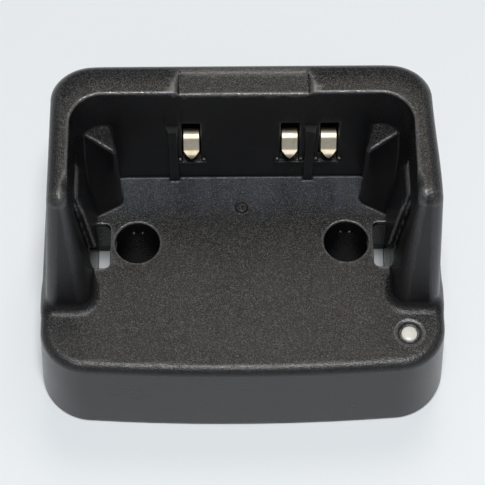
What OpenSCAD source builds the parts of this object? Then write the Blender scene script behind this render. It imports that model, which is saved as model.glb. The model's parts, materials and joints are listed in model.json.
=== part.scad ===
// Desktop charging cradle for a handheld radio.
// Frame: X to the right, the open front of the pocket faces -Y, Z up.
// Origin: centre of the footprint, on the surface that the feet stand on.

/* [Base] */
// Width of the housing at its lower edge
base_w = 106; // [102:1:112]
// Depth of the housing at its lower edge
base_d = 69; // [66:1:74]
// Height of the deck above the table
deck_z = 30; // [28:0.5:34]
// Gap that the feet leave under the housing
foot_gap = 0.8; // [0.5:0.1:1.2]
// Corner radius at the lower front edge
front_corner_r = 14; // [11:0.5:16]
// How far the middle of the front edge bows forward
front_bow = 1.4; // [0.8:0.2:2]
// How far the base walls lean in between the lower edge and the deck
base_draft = 2; // [1:0.25:2.5]
// General wall thickness
wall = 2.2; // [1.8:0.1:2.4]

/* [Pocket] */
// Height of the rim above the deck
rim_h = 40.4; // [36:0.2:44]
// Outer width of the arms at the deck
arm_w_deck = 99.8; // [98:0.2:101]
// Outer width of the arms at the rim
arm_w_rim = 92.8; // [90:0.2:95]
// Inner width between the arms at the deck
inner_w_deck = 76; // [75:0.5:77]
// Inner width between the arms at the rim
inner_w_rim = 83.4; // [82:0.2:84.4]
// Rear face of the pocket at the deck, from the origin
pocket_back_y = 23.4; // [22.6:0.2:24]
// How far the rear face of the pocket leans back at the rim
pocket_back_lean = 0.8; // [0.4:0.1:1.2]
// Front of each arm at the deck, from the origin
arm_foot_y = -14.8; // [-17:0.2:-13]
// Front of each arm at the rim, from the origin
arm_top_y = -5.2; // [-8:0.2:-4]
// Inside corner radius of the pocket
inner_corner_r = 8; // [6:0.5:9]
// Outside corner radius of the back wall
outer_corner_r = 9.5; // [8:0.5:11]

/* [Radio guides] */
// Distance from the middle plane to each guide rib
rib_x = 17.4; // [17:0.1:17.8]
// Width of a guide rib
rib_w = 2.4; // [2:0.1:2.8]
// How far a guide rib stands out of the back wall
rib_proud = 1.1; // [0.8:0.1:1.4]
// Height of each corner guide block above the deck, at the arm
block_h = 27; // [22:1:30]
// Bottom of each retaining tongue above the deck
tongue_gap = 4.6; // [4:0.2:6]

/* [Contacts] */
// Position of the left contact
contact_left_x = -12.7; // [-13.1:0.1:-12.3]
// Position of the middle contact
contact_middle_x = 12.3; // [12.1:0.1:12.5]
// Position of the right contact
contact_right_x = 22.2; // [22:0.1:22.6]
// Width of the contact leaf
leaf_w = 4; // [3.6:0.1:4.2]
// Thickness of the contact leaf
leaf_t = 0.3; // [0.25:0.05:0.4]

/* [Mounting and light] */
// Distance between the two mounting screws
mount_spacing = 53.8; // [52:0.2:55]
// Radius of a mounting screw hole
mount_hole_r = 2.25; // [2:0.05:2.5]
// Radius of a screw well at the deck
well_r = 5.8; // [5.6:0.1:6.2]
// Radius of the indicator lens
lens_r = 2; // [1.75:0.05:2.2]

/* [Hidden] */

$fn = 48;
hull_fn = 48;
eps = 0.01;

base_h = deck_z - foot_gap;
rim_z = deck_z + rim_h;
back_y = base_d / 2;
front_y = -base_d / 2;
back_draft = 2.2;               // lean of the rear wall from the lower edge to the rim
deck_fillet = 2;
rim_fillet = 3.4;
rear_corner_x_top = arm_w_rim / 2 - outer_corner_r;

pip_y = 14.1;                   // small raised pip on the pocket floor

well_x = mount_spacing / 2;
well_y = 4.2;
well_neck_r = 5.1;
well_neck_depth = 4.5;

slot_in_x = 33.9;               // inner side of a floor slot
slot_out_x = 39;
slot_front_y = -3;
slot_back_y = 9.7;
chimney_back_y = 16.8;

cover_t = 2.2;
cover_gap = 0.2;                // clearance between the cover's edge and the housing

lens_x = 41.9;
lens_y = -21.8;
lens_recess_r = 3.3;

board_z = 8.6;
board_t = 1.6;
board_top = board_z + board_t;

window_w = 4.9;
window_low = 8.9;               // heights above the deck
window_high = 26.3;
contact_xs = [contact_left_x, contact_middle_x, contact_right_x];
leaf_root_z = deck_z + 6.6;
leaf_back_y = pocket_back_y + 4.3;
leaf_rise_y = leaf_back_y - pocket_back_y - leaf_t / 2;
leaf_turn_r = 1.45;
leaf_top = 18.9;                // heights above the deck
leaf_face = [[1.65, 18.84], [0.98, 18.52], [0.62, 18], [-0.65, 15.85]];
leaf_lip = [[-1.08, 15.42], [-1.75, 14.98], [-1.98, 14.75], [-2.1, 14.4], [-2.12, 13.6]];
leaf_taper_z = 14.7;            // where the lip starts to narrow
leaf_taper_angle = 55;
bend_steps = 8;
root_r = 0.4;                   // rolled lower end of each leaf, about which it turns

holder_rise = 28;
holder_front_y = pocket_back_y + wall + 0.1 + pocket_back_lean * holder_rise / (rim_h + 2);
holder_back_y = 30.2;
holder_low_z = deck_z + 3.2;
holder_high_z = deck_z + holder_rise;
holder_left_x = contact_left_x - 4.6;
holder_right_x = contact_right_x + 4.2;
holder_screw_xs = [-5, 5];
holder_screw_z = deck_z + 16;

jack_w = 9;
jack_h = 10.8;
jack_front_y = 19.6;            // inner end of the jack body
jack_axis_z = board_top + 6.3;
jack_bore_r = 3.15;

cover_screw_xy = [[-32, -24], [30, -26], [-34, 26], [34, 26]];
board_screw_xy = [[-17, -22], [17, -22], [-17, 18], [17, 18]];
foot_xy = [[-43, -16], [43, -16], [-43, 25], [43, 25]];
boss_r = 3;
pilot_depth = 14;
screw_seat = 1.2;               // from the cover's outer face up to the seat of a cover screw

function front_edge(x) = front_y + front_bow * pow(x / 40, 2);

// Post with a rounded top edge; its side leans in from r_low to r_high.
module corner_post(r_low, r_high, height, fillet) {
    steps = 5;
    arc = [for (i = [0:steps]) let(a = 90 * i / steps)
        [r_high - fillet + fillet * cos(a), height - fillet + fillet * sin(a)]];
    rotate_extrude($fn = hull_fn)
        polygon(concat([[0, 0], [r_low, 0]], arc, [[0, height]]));
}

// Solid form of the base. Inset moves every wall inwards.
module base_form(inset, low_z, high_z, fillet) {
    lean = base_draft * (high_z - low_z) / base_h;
    r_low = front_corner_r - inset;
    front_x = base_w / 2 - front_corner_r;
    rear_r = 9;
    hull() {
        for (x = [-front_x, -front_x / 2, 0, front_x / 2, front_x])
            translate([x, front_edge(x) + front_corner_r, low_z])
                corner_post(r_low, r_low - lean, high_z - low_z, fillet);
        for (side = [-1, 1])
            translate([side * (base_w / 2 - rear_r), back_y - rear_r, low_z])
                corner_post(rear_r - inset, rear_r - inset - lean / 2, high_z - low_z, fillet);
    }
}

// Solid form of the back wall and both arms, before the pocket is taken out.
module upper_form(inset, top_z, fillet) {
    low_z = deck_z - 6;
    r_top = outer_corner_r - inset;
    tip_r = max(fillet, 0.6);
    hull() {
        for (side = [-1, 1]) {
            translate([side * rear_corner_x_top, back_y - back_draft - outer_corner_r, low_z])
                corner_post(r_top + 1.2, r_top, top_z - low_z, fillet);
            translate([side * (arm_w_deck / 2 - outer_corner_r), back_y - 1 - outer_corner_r, low_z])
                cylinder(r = r_top, h = 6, $fn = hull_fn);
            translate([side * (arm_w_rim / 2 - inset - tip_r), arm_top_y + inset + tip_r, top_z - tip_r])
                sphere(r = tip_r, $fn = hull_fn);
            translate([side * (arm_w_deck / 2 - inset - 2.5), arm_foot_y + inset + 2.5, low_z])
                cylinder(r = 2.5, h = 6, $fn = hull_fn);
        }
    }
}

// Space of the pocket. Grow moves its walls outwards into the material.
module pocket_form(grow, low_z) {
    high_z = rim_z + 2;
    r = inner_corner_r + grow;
    hull() {
        for (side = [-1, 1]) {
            translate([side * (inner_w_deck / 2 - inner_corner_r),
                       pocket_back_y - inner_corner_r, low_z])
                cylinder(r = r, h = 1, $fn = hull_fn);
            translate([side * (inner_w_rim / 2 - inner_corner_r),
                       pocket_back_y + pocket_back_lean - inner_corner_r, high_z])
                cylinder(r = r, h = 1, $fn = hull_fn);
            translate([side * (inner_w_deck / 2 + grow) - (side > 0 ? 1 : 0), front_y - 5, low_z])
                cube([1, 1, 1]);
            translate([side * (inner_w_rim / 2 + grow) - (side > 0 ? 1 : 0), front_y - 5, high_z])
                cube([1, 1, 1]);
        }
    }
}

module at_sides() {
    children();
    mirror([1, 0, 0]) children();
}

// Corner block that steers the radio's rear corner; its top falls towards the middle.
module guide_block() {
    nose_r = 1.6;
    fall = 32;
    difference() {
        translate([0, 0, deck_z - 1])
            linear_extrude(block_h + 1) {
                polygon([[32.4, pocket_back_y + 1.5], [30.8, 17.4], [32, 15.2], [34.2, 14.7],
                         [37.6, 12], [44, 12], [44, pocket_back_y + 1.5]]);
                translate([32.4, 16.7]) circle(nose_r);
            }
        translate([41, 0, deck_z + block_h])
            rotate([0, fall, 0])
                translate([-40, -5, 0]) cube([80, 50, 40]);
    }
}

// Tongue that grips the radio's side groove, hanging over the floor slot.
module tongue() {
    height = 22;
    translate([0, 0, deck_z + tongue_gap])
        linear_extrude(height) polygon([[37, 0.6], [37, 10.6], [43, 12.4], [43, -0.2]]);
}

// Groove down the inner face of each arm, just ahead of the tongue.
module arm_groove() {
    translate([37.6, -2.6, deck_z])
        rotate([-8, 0, 0])
            cube([2.6, 3, 26]);
}

module guide_rib() {
    translate([rib_x - rib_w / 2, pocket_back_y - rib_proud, deck_z - 1])
        cube([rib_w, rib_proud + 1.5, window_high]);
    translate([rib_x - rib_w * 0.8, pocket_back_y - 0.2, deck_z + window_high - 2])
        cube([rib_w * 1.6, 1.5, rim_h - window_high]);
}

module well_tube() {
    translate([well_x, well_y, foot_gap + cover_t])
        cylinder(r = well_r + 1.8, h = deck_z - 1 - foot_gap - cover_t);
}

module well_bore() {
    translate([well_x, well_y, foot_gap - 1])
        cylinder(r = well_neck_r, h = deck_z);
    translate([well_x, well_y, deck_z - well_neck_depth])
        cylinder(r1 = well_neck_r, r2 = well_r, h = well_neck_depth + eps);
}

module chimney_wall() {
    translate([slot_in_x - 1.6, slot_front_y - 1.6, foot_gap + cover_t])
        cube([slot_out_x - slot_in_x + 3.2, chimney_back_y - slot_front_y + 3.2,
              deck_z - 1 - foot_gap - cover_t]);
}

module chimney_space(low_z) {
    translate([slot_in_x, slot_front_y, low_z])
        cube([slot_out_x - slot_in_x, chimney_back_y - slot_front_y, deck_z - wall - low_z]);
    corner = 1.4;
    translate([0, 0, deck_z - wall - 1])
        linear_extrude(wall + 1 + tongue_gap) {
            translate([slot_in_x + corner, slot_front_y])
                square([slot_out_x - slot_in_x - corner, slot_back_y - slot_front_y]);
            translate([slot_in_x, slot_front_y + corner])
                square([corner, slot_back_y - slot_front_y - 2 * corner]);
            for (y = [slot_front_y + corner, slot_back_y - corner])
                translate([slot_in_x + corner, y]) circle(corner);
        }
}

module contact_window(x) {
    translate([x - window_w / 2, pocket_back_y - 2, deck_z + window_low])
        cube([window_w, wall + 4, window_high - window_low]);
}

// Ledge below a contact window, a little wider than the window.
module window_sill(x) {
    translate([x - 3.8, pocket_back_y - 0.5, deck_z + window_low - 1.2])
        cube([7.6, 1, 1.2]);
}

module screw_boss(xy, top) {
    low = foot_gap + cover_t + 0.1;
    translate([xy[0], xy[1], low]) cylinder(r = boss_r, h = top - low);
}

module screw_pilot(xy, depth) {
    translate([xy[0], xy[1], foot_gap]) cylinder(r = 1.1, h = depth);
}

module top_housing() {
    color("#26262a") difference() {
        union() {
            difference() {
                union() {
                    base_form(0, foot_gap, deck_z, deck_fillet);
                    upper_form(0, rim_z, rim_fillet);
                }
                difference() {
                    union() {
                        base_form(wall, foot_gap - eps, deck_z - wall, 0.6);
                        upper_form(wall, rim_z - 5, 1);
                    }
                    pocket_form(wall, deck_z - wall);
                }
                pocket_form(0, deck_z);
            }
            at_sides() {
                guide_block();
                tongue();
                guide_rib();
                well_tube();
                chimney_wall();
            }
            for (x = contact_xs) window_sill(x);
            for (xy = cover_screw_xy) screw_boss(xy, deck_z - 1);
            translate([0, pip_y, deck_z - 1]) cylinder(r1 = 1.9, r2 = 1.5, h = 1.8);
            for (x = holder_screw_xs)
                translate([x, pocket_back_y + 1, holder_screw_z])
                    rotate([-90, 0, 0]) cylinder(r = 2, h = holder_front_y - pocket_back_y - 1.03);
        }
        at_sides() {
            well_bore();
            chimney_space(foot_gap - 1);
            arm_groove();
        }
        for (x = contact_xs) contact_window(x);
        for (xy = cover_screw_xy) screw_pilot(xy, pilot_depth);
        translate([lens_x, lens_y, deck_z - 0.7]) cylinder(r = lens_recess_r, h = 2);
        translate([lens_x, lens_y, deck_z - 8]) cylinder(r = lens_r + 0.1, h = 10);
        translate([-jack_w / 2 - 0.2, back_y - 6, board_top - 0.2])
            cube([jack_w + 0.4, 10, jack_h + 0.6]);
        for (x = holder_screw_xs)
            translate([x, pocket_back_y + 0.9, holder_screw_z])
                rotate([-90, 0, 0]) cylinder(r = 0.9, h = 4);
    }
}

module bottom_cover() {
    color("#2b2b2f") difference() {
        union() {
            base_form(wall + cover_gap, foot_gap, foot_gap + cover_t, 0);
            for (xy = board_screw_xy)
                translate([xy[0], xy[1], foot_gap + 1])
                    cylinder(r = 2.8, h = board_z - foot_gap - 1);
        }
        at_sides() {
            translate([well_x, well_y, foot_gap - 1]) cylinder(r = mount_hole_r, h = cover_t + 2);
            translate([slot_in_x, slot_front_y, foot_gap - 1])
                cube([slot_out_x - slot_in_x, chimney_back_y - slot_front_y, cover_t + 2]);
        }
        for (xy = cover_screw_xy) translate([xy[0], xy[1], foot_gap - 1]) {
            cylinder(r = 1.5, h = cover_t + 2);
            cylinder(r = 2.9, h = 1 + screw_seat);
        }
        for (xy = board_screw_xy)
            translate([xy[0], xy[1], foot_gap + 1.2]) cylinder(r = 0.9, h = board_z);
        for (xy = foot_xy) translate([xy[0], xy[1], foot_gap - eps]) cylinder(r = 4.6, h = 1);
    }
}

// Carrier behind the back wall, with one open chamber for each contact.
module contact_holder() {
    chamber_w = leaf_w + 0.7;
    color("#1d1d1f") difference() {
        translate([holder_left_x, holder_front_y, holder_low_z])
            cube([holder_right_x - holder_left_x, holder_back_y - holder_front_y,
                  holder_high_z - holder_low_z]);
        for (x = contact_xs)
            translate([x - chamber_w / 2, holder_front_y - 1, holder_low_z - 1])
                cube([chamber_w, holder_back_y - holder_front_y + 0.2, holder_high_z - holder_low_z]);
        for (x = holder_screw_xs)
            translate([x, holder_front_y - 1, holder_screw_z])
                rotate([-90, 0, 0]) {
                    cylinder(r = 1.15, h = 8);
                    translate([0, 0, 1 + holder_back_y - holder_front_y - 1.6])
                        cylinder(r = 2.2, h = 3);
                }
    }
}

// Points of an arc about [cy, cz] from angle a0 to a1.
function bend(cy, cz, r, a0, a1) =
    [for (i = [0:bend_steps]) let(a = a0 + (a1 - a0) * i / bend_steps) [cy + r * cos(a), cz + r * sin(a)]];

// Unit step square to a path at its point i.
function square_step(path, i) =
    let(d = path[min(i + 1, len(path) - 1)] - path[max(i - 1, 0)]) [d[1], -d[0]] / norm(d);

// Centre line of a leaf seen from the side: depth behind the pocket's rear face, height above
// the deck. It rises behind the wall, turns over forwards and ends in a lip in the window.
function leaf_line() = concat(
    [[leaf_rise_y, leaf_root_z - deck_z]],
    bend(leaf_rise_y - leaf_turn_r, leaf_top - leaf_turn_r, leaf_turn_r, 0, 90),
    leaf_face, leaf_lip);

module leaf_section() {
    path = leaf_line();
    count = len(path);
    polygon(concat(
        [for (i = [0:count - 1]) path[i] + square_step(path, i) * leaf_t / 2],
        [for (i = [count - 1:-1:0]) path[i] - square_step(path, i) * leaf_t / 2]));
}

module contact_leaf(x) {
    color("#d8d2c2") translate([x, pocket_back_y, deck_z])
        difference() {
            rotate([90, 0, 90]) translate([0, 0, -leaf_w / 2]) {
                linear_extrude(leaf_w) leaf_section();
                translate([leaf_rise_y, leaf_root_z - deck_z, 0])
                    cylinder(r = root_r, h = leaf_w);
            }
            at_sides()
                translate([leaf_w / 2, -3, leaf_taper_z])
                    rotate([0, -leaf_taper_angle, 0])
                        translate([0, 0, -4]) cube([3, 4, 4]);
        }
}

module contact_left() { contact_leaf(contact_left_x); }
module contact_middle() { contact_leaf(contact_middle_x); }
module contact_right() { contact_leaf(contact_right_x); }

module contact_tails() {
    color("#cfc9b8") for (x = contact_xs)
        translate([x - 1.5, leaf_back_y - leaf_t, board_z - 1])
            cube([3, leaf_t, leaf_root_z - root_r - 0.1 - board_z + 1]);
}

module pan_screw(shank_r, head_r, head_h, length) {
    difference() {
        union() {
            translate([0, 0, -eps]) cylinder(r = shank_r, h = length + eps);
            translate([0, 0, -head_h]) cylinder(r = head_r, h = head_h);
        }
        for (turn = [0, 90]) rotate(turn)
            translate([-head_r * 0.6, -0.25, -head_h - eps]) cube([head_r * 1.2, 0.5, head_h * 0.5]);
    }
}

module holder_screws() {
    color("#8c8c90") for (x = holder_screw_xs)
        translate([x, holder_back_y - 1.6, holder_screw_z])
            rotate([90, 0, 0]) pan_screw(0.85, 2, 1.2, 4.1);
}

module board_screws() {
    color("#8c8c90") for (xy = board_screw_xy)
        translate([xy[0], xy[1], board_top])
            rotate([180, 0, 0]) pan_screw(0.85, 2, 1.2, 6);
}

module cover_screws() {
    color("#8c8c90") for (xy = cover_screw_xy)
        translate([xy[0], xy[1], foot_gap + screw_seat])
            pan_screw(1.05, 2.5, 1.1, 10);
}

module rubber_feet() {
    color("#3a3a3c") for (xy = foot_xy)
        translate([xy[0], xy[1], 0]) {
            cylinder(r1 = 4.1, r2 = 4.5, h = 0.6);
            translate([0, 0, 0.6 - eps]) cylinder(r = 4.5, h = foot_gap + 1 - 0.6 - 0.02);
        }
}

module rating_label() {
    color("#c9c9c6") translate([-20, -16, foot_gap - 0.12]) cube([40, 24, 0.12]);
}

module board_outline() {
    difference() {
        union() {
            translate([-20, -27]) square([45, 57.2]);
            translate([15, -27]) square([30.4, 17]);
        }
        for (side = [-1, 1]) translate([side * well_x, well_y]) circle(well_r + 2.6);
        for (xy = cover_screw_xy) translate(xy) circle(boss_r + 0.6);
    }
}

module circuit_board() {
    color("#2f6b45") difference() {
        translate([0, 0, board_z]) linear_extrude(board_t) board_outline();
        for (xy = board_screw_xy)
            translate([xy[0], xy[1], board_z - 1]) cylinder(r = 1.2, h = board_t + 2);
        for (x = contact_xs)
            translate([x - 1.7, leaf_back_y - leaf_t - 0.2, board_z - 1])
                cube([3.4, leaf_t + 0.4, board_t + 2]);
    }
}

module dc_jack() {
    color("#18181a") difference() {
        translate([-jack_w / 2, jack_front_y, board_top])
            cube([jack_w, back_y - 1 - jack_front_y, jack_h]);
        translate([0, jack_front_y + 3, jack_axis_z])
            rotate([-90, 0, 0]) cylinder(r = jack_bore_r, h = 20);
        translate([0, jack_front_y - 1, jack_axis_z])
            rotate([-90, 0, 0]) cylinder(r = 1.05, h = 5);
        translate([-1.6, jack_front_y + 3, board_top - 1])
            cube([3.2, 4, jack_axis_z - board_top - 1]);
    }
}

module jack_pin() {
    color("#d9d4c6") translate([0, jack_front_y + 0.2, jack_axis_z])
        rotate([-90, 0, 0]) {
            cylinder(r = 1.05, h = 11.6);
            translate([0, 0, 11.6 - eps]) cylinder(r1 = 1.05, r2 = 0.6, h = 0.6);
        }
}

module jack_spring() {
    color("#cfc9b8") {
        translate([-1.4, jack_front_y + 3.4, board_top])
            cube([2.8, 0.3, jack_axis_z - board_top - 2.5]);
        translate([-1.4, jack_front_y + 3.4, jack_axis_z - 2.75])
            cube([2.8, 5, 0.3]);
    }
}

module indicator_lens() {
    color("#f0f0ea") translate([lens_x, lens_y, 0]) {
        translate([0, 0, board_top + 2.6]) cylinder(r = lens_r, h = deck_z - board_top - 2.6 - 0.9);
        translate([0, 0, deck_z - 0.9 - eps]) cylinder(r1 = lens_r, r2 = lens_r - 0.35, h = 0.7);
        translate([0, 0, deck_z - wall - 1.2]) cylinder(r = lens_r + 0.8, h = 1.15);
    }
}

module indicator_led() {
    color("#e8e6da") translate([lens_x - 1.6, lens_y - 1.4, board_top]) cube([3.2, 2.8, 1.9]);
}

module charge_controller() {
    color("#1c1c1e") {
        translate([-2.5, 1, board_top + 0.1]) cube([5, 6.2, 1.5]);
        for (side = [-1, 1]) for (i = [0:3])
            translate([side * 2.9 - 0.45, 1.6 + i * 1.27, board_top]) cube([0.9, 0.45, 0.5]);
    }
}

module pass_transistor() {
    color("#222224") {
        translate([6, 6, board_top + 0.4]) cube([6.5, 6, 2.2]);
        translate([6, 6, board_top]) cube([6.5, 8.4, 0.5]);
        for (x = [7, 10.6]) translate([x, 3.6, board_top]) cube([0.8, 2.6, 0.6]);
    }
}

module power_inductor() {
    color("#2a2a2c") translate([-11.5, 3, board_top]) difference() {
        union() {
            translate([-4, -4, 0]) cube([8, 8, 1.1]);
            translate([0, 0, 1.1 - eps]) cylinder(r = 3.6, h = 3.1);
        }
        translate([0, 0, 3.8]) cylinder(r = 2.6, h = 2);
    }
}

module filter_capacitors() {
    color("#3b4a6b") for (x = [-12.5, 8]) translate([x, -8, board_top]) {
        cylinder(r = 3.3, h = 0.8);
        translate([0, 0, 0.8 - eps]) cylinder(r = 3.15, h = 6.4);
    }
}

module input_diode() {
    color("#202022") translate([-10.5, 12, board_top]) {
        cube([4.4, 2.6, 2.1]);
        translate([-0.5, 0.5, 0]) cube([5.4, 1.6, 0.5]);
    }
}

module input_fuse() {
    color("#4d8a5a") translate([6.8, 17.6, board_top]) cube([4.5, 3.2, 0.9]);
}

module chip_resistors() {
    color("#151517") for (i = [0:6])
        translate([-9 + i * 3, -15, board_top]) cube([1, 2, 0.5]);
    color("#151517") for (i = [0:2])
        translate([30 + i * 3, -16, board_top]) cube([1, 2, 0.5]);
}

module chip_capacitors() {
    color("#a58f6d") for (i = [0:5])
        translate([-8 + i * 3, -19.4, board_top]) cube([1.25, 2, 1]);
}

top_housing();
bottom_cover();
contact_holder();
contact_left();
contact_middle();
contact_right();
contact_tails();
holder_screws();
circuit_board();
board_screws();
cover_screws();
rubber_feet();
rating_label();
dc_jack();
jack_pin();
jack_spring();
indicator_lens();
indicator_led();
charge_controller();
pass_transistor();
power_inductor();
filter_capacitors();
input_diode();
input_fuse();
chip_resistors();
chip_capacitors();
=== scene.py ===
import json
import math
import bpy
import bmesh
import numpy as np
from mathutils import Matrix, Vector


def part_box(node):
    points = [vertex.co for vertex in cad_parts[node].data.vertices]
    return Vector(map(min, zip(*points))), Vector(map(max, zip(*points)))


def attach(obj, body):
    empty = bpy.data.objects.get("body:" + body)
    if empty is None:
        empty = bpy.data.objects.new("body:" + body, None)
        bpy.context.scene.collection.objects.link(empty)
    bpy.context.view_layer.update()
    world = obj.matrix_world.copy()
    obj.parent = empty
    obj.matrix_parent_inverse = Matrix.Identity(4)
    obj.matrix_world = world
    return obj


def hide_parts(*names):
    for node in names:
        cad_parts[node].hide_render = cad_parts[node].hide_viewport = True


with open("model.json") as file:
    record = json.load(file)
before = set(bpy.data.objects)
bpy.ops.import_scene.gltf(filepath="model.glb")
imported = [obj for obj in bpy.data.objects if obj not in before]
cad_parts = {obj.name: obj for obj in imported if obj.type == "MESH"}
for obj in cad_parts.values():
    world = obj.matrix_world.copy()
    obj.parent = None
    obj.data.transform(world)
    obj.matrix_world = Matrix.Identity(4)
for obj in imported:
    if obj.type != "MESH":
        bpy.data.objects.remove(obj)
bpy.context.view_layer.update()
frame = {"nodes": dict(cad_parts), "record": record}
mm = 0.001
bodies = frame["record"]["behaviour"]["bodies"]
bodyOfNode = {node: body for body, nodes in bodies.items() for node in nodes}
slotOfNode = {entry["node"]: entry["material_slot"] for entry in frame["record"]["subparts"]}
scene = bpy.context.scene
print("frame loaded:", len(frame["nodes"]), "nodes")


camera = {
    "aim": (0.16 * mm, 4 * mm, 30 * mm),
    "distance": 0.4639,
    "azimuth": -0.93,      # degrees, from straight in front
    "elevation": 62.87,
    "roll": 0.39,
    "lens": 133.6,
}


def makeCamera(values):
    a, e, r = (math.radians(values[key]) for key in ("azimuth", "elevation", "roll"))
    back = Vector((math.sin(a) * math.cos(e), -math.cos(a) * math.cos(e), math.sin(e)))
    right = Vector((0, 0, 1)).cross(back).normalized()
    up = back.cross(right)
    turnedRight = right * math.cos(r) + up * math.sin(r)
    turnedUp = up * math.cos(r) - right * math.sin(r)
    data = bpy.data.cameras.new("camera")
    data.lens = values["lens"]
    data.sensor_width = 36
    obj = bpy.data.objects.new("camera", data)
    place = Matrix((turnedRight, turnedUp, back)).transposed().to_4x4()
    place.translation = Vector(values["aim"]) + back * values["distance"]
    obj.matrix_world = place
    scene.collection.objects.link(obj)
    scene.camera = obj


lamps = {
    # name: direction from the object (x, y, z), distance, size, watts, colour
    "main": ((0.02, -0.2, 0.98), 0.9, 0.19, 5.9, (1, 0.99, 0.975)),
    "frontSoft": ((0.02, -0.5, 0.87), 0.9, 0.7, 0.6, (0.93, 0.97, 1)),
    "backPanel": ((0.08, 0.5, 0.93), 0.9, 0.42, 1.6, (1, 0.93, 0.82)),
}


def makeLamp(name, direction, distance, size, watts, colour):
    data = bpy.data.lights.new(name, "AREA")
    data.shape = "DISK"
    data.size = size
    data.energy = watts
    data.color = colour
    obj = bpy.data.objects.new(name, data)
    away = Vector(direction).normalized()
    obj.location = away * distance
    obj.rotation_euler = away.to_track_quat("Z", "Y").to_euler()
    scene.collection.objects.link(obj)


def makeFloor():
    mesh = bpy.data.meshes.new("floor")
    half = 3
    corners = [(-half, -half, 0), (half, -half, 0), (half, half, 0), (-half, half, 0)]
    mesh.from_pydata(corners, [], [(0, 1, 2, 3)])
    obj = bpy.data.objects.new("floor", mesh)
    scene.collection.objects.link(obj)
    mesh.materials.append(floorMaterial())


def newMaterial(name):
    mat = bpy.data.materials.new(name)
    mat.use_nodes = True
    tree = mat.node_tree
    return mat, tree, tree.nodes["Principled BSDF"]


def addNode(tree, kind, inputs=None, **settings):
    node = tree.nodes.new(kind)
    for key, value in settings.items():
        setattr(node, key, value)
    for key, value in (inputs or {}).items():
        node.inputs[key].default_value = value
    return node


def floorMaterial():
    mat, tree, shader = newMaterial("floorPaper")
    coords = addNode(tree, "ShaderNodeTexCoord")
    noise = addNode(tree, "ShaderNodeTexNoise", {"Scale": 900, "Detail": 4})
    ramp = addNode(tree, "ShaderNodeValToRGB")
    ramp.color_ramp.elements[0].color = (0.795, 0.835, 0.87, 1)
    ramp.color_ramp.elements[1].color = (0.82, 0.86, 0.89, 1)
    tree.links.new(coords.outputs["Object"], noise.inputs["Vector"])
    tree.links.new(noise.outputs["Fac"], ramp.inputs["Fac"])
    tree.links.new(ramp.outputs["Color"], shader.inputs["Base Color"])
    shader.inputs["Roughness"].default_value = 0.6
    return mat


def roundUnion(a, b, r):
    # join of two solids with a fillet of radius r in the corner between them
    return np.maximum(r, np.minimum(a, b)) - np.hypot(np.maximum(r - a, 0), np.maximum(r - b, 0))


def roundBoth(a, b, r):
    # what two solids share, with the edge between them rounded to radius r
    return np.minimum(-r, np.maximum(a, b)) + np.hypot(np.maximum(r + a, 0), np.maximum(r + b, 0))


def roundCut(a, tool, r):
    return roundBoth(a, -tool, r)


def plate(x, y, halfWidth, front, back, frontR, backR):
    # plan distance to a rectangle with its own corner radii at the front and the back
    middle = (front + back) / 2
    r = np.where(y < middle, frontR, backR)
    qx = np.abs(x) - halfWidth + r
    qy = np.abs(y - middle) - (back - front) / 2 + r
    return np.minimum(np.maximum(qx, qy), 0) + np.hypot(np.maximum(qx, 0), np.maximum(qy, 0)) - r


def block(x, y, z, low, high, r):
    # box between two corners with rounded edges
    q = [np.abs(v - (a + b) / 2) - (b - a) / 2 + r for v, a, b in zip((x, y, z), low, high)]
    outside = np.sqrt(sum(np.maximum(v, 0) ** 2 for v in q))
    return outside + np.minimum(np.maximum(np.maximum(q[0], q[1]), q[2]), 0) - r


def post(x, y, z, cx, cy, radius, low, high, r=0.0):
    around = np.hypot(x - cx, y - cy) - radius
    return roundBoth(roundBoth(around, z - high, r), low - z, r)


def fade(value, start, end):
    t = np.clip((value - start) / (end - start), 0, 1)
    return t * t * (3 - 2 * t)


def mix(a, b, t):
    return a + (b - a) * t


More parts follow.
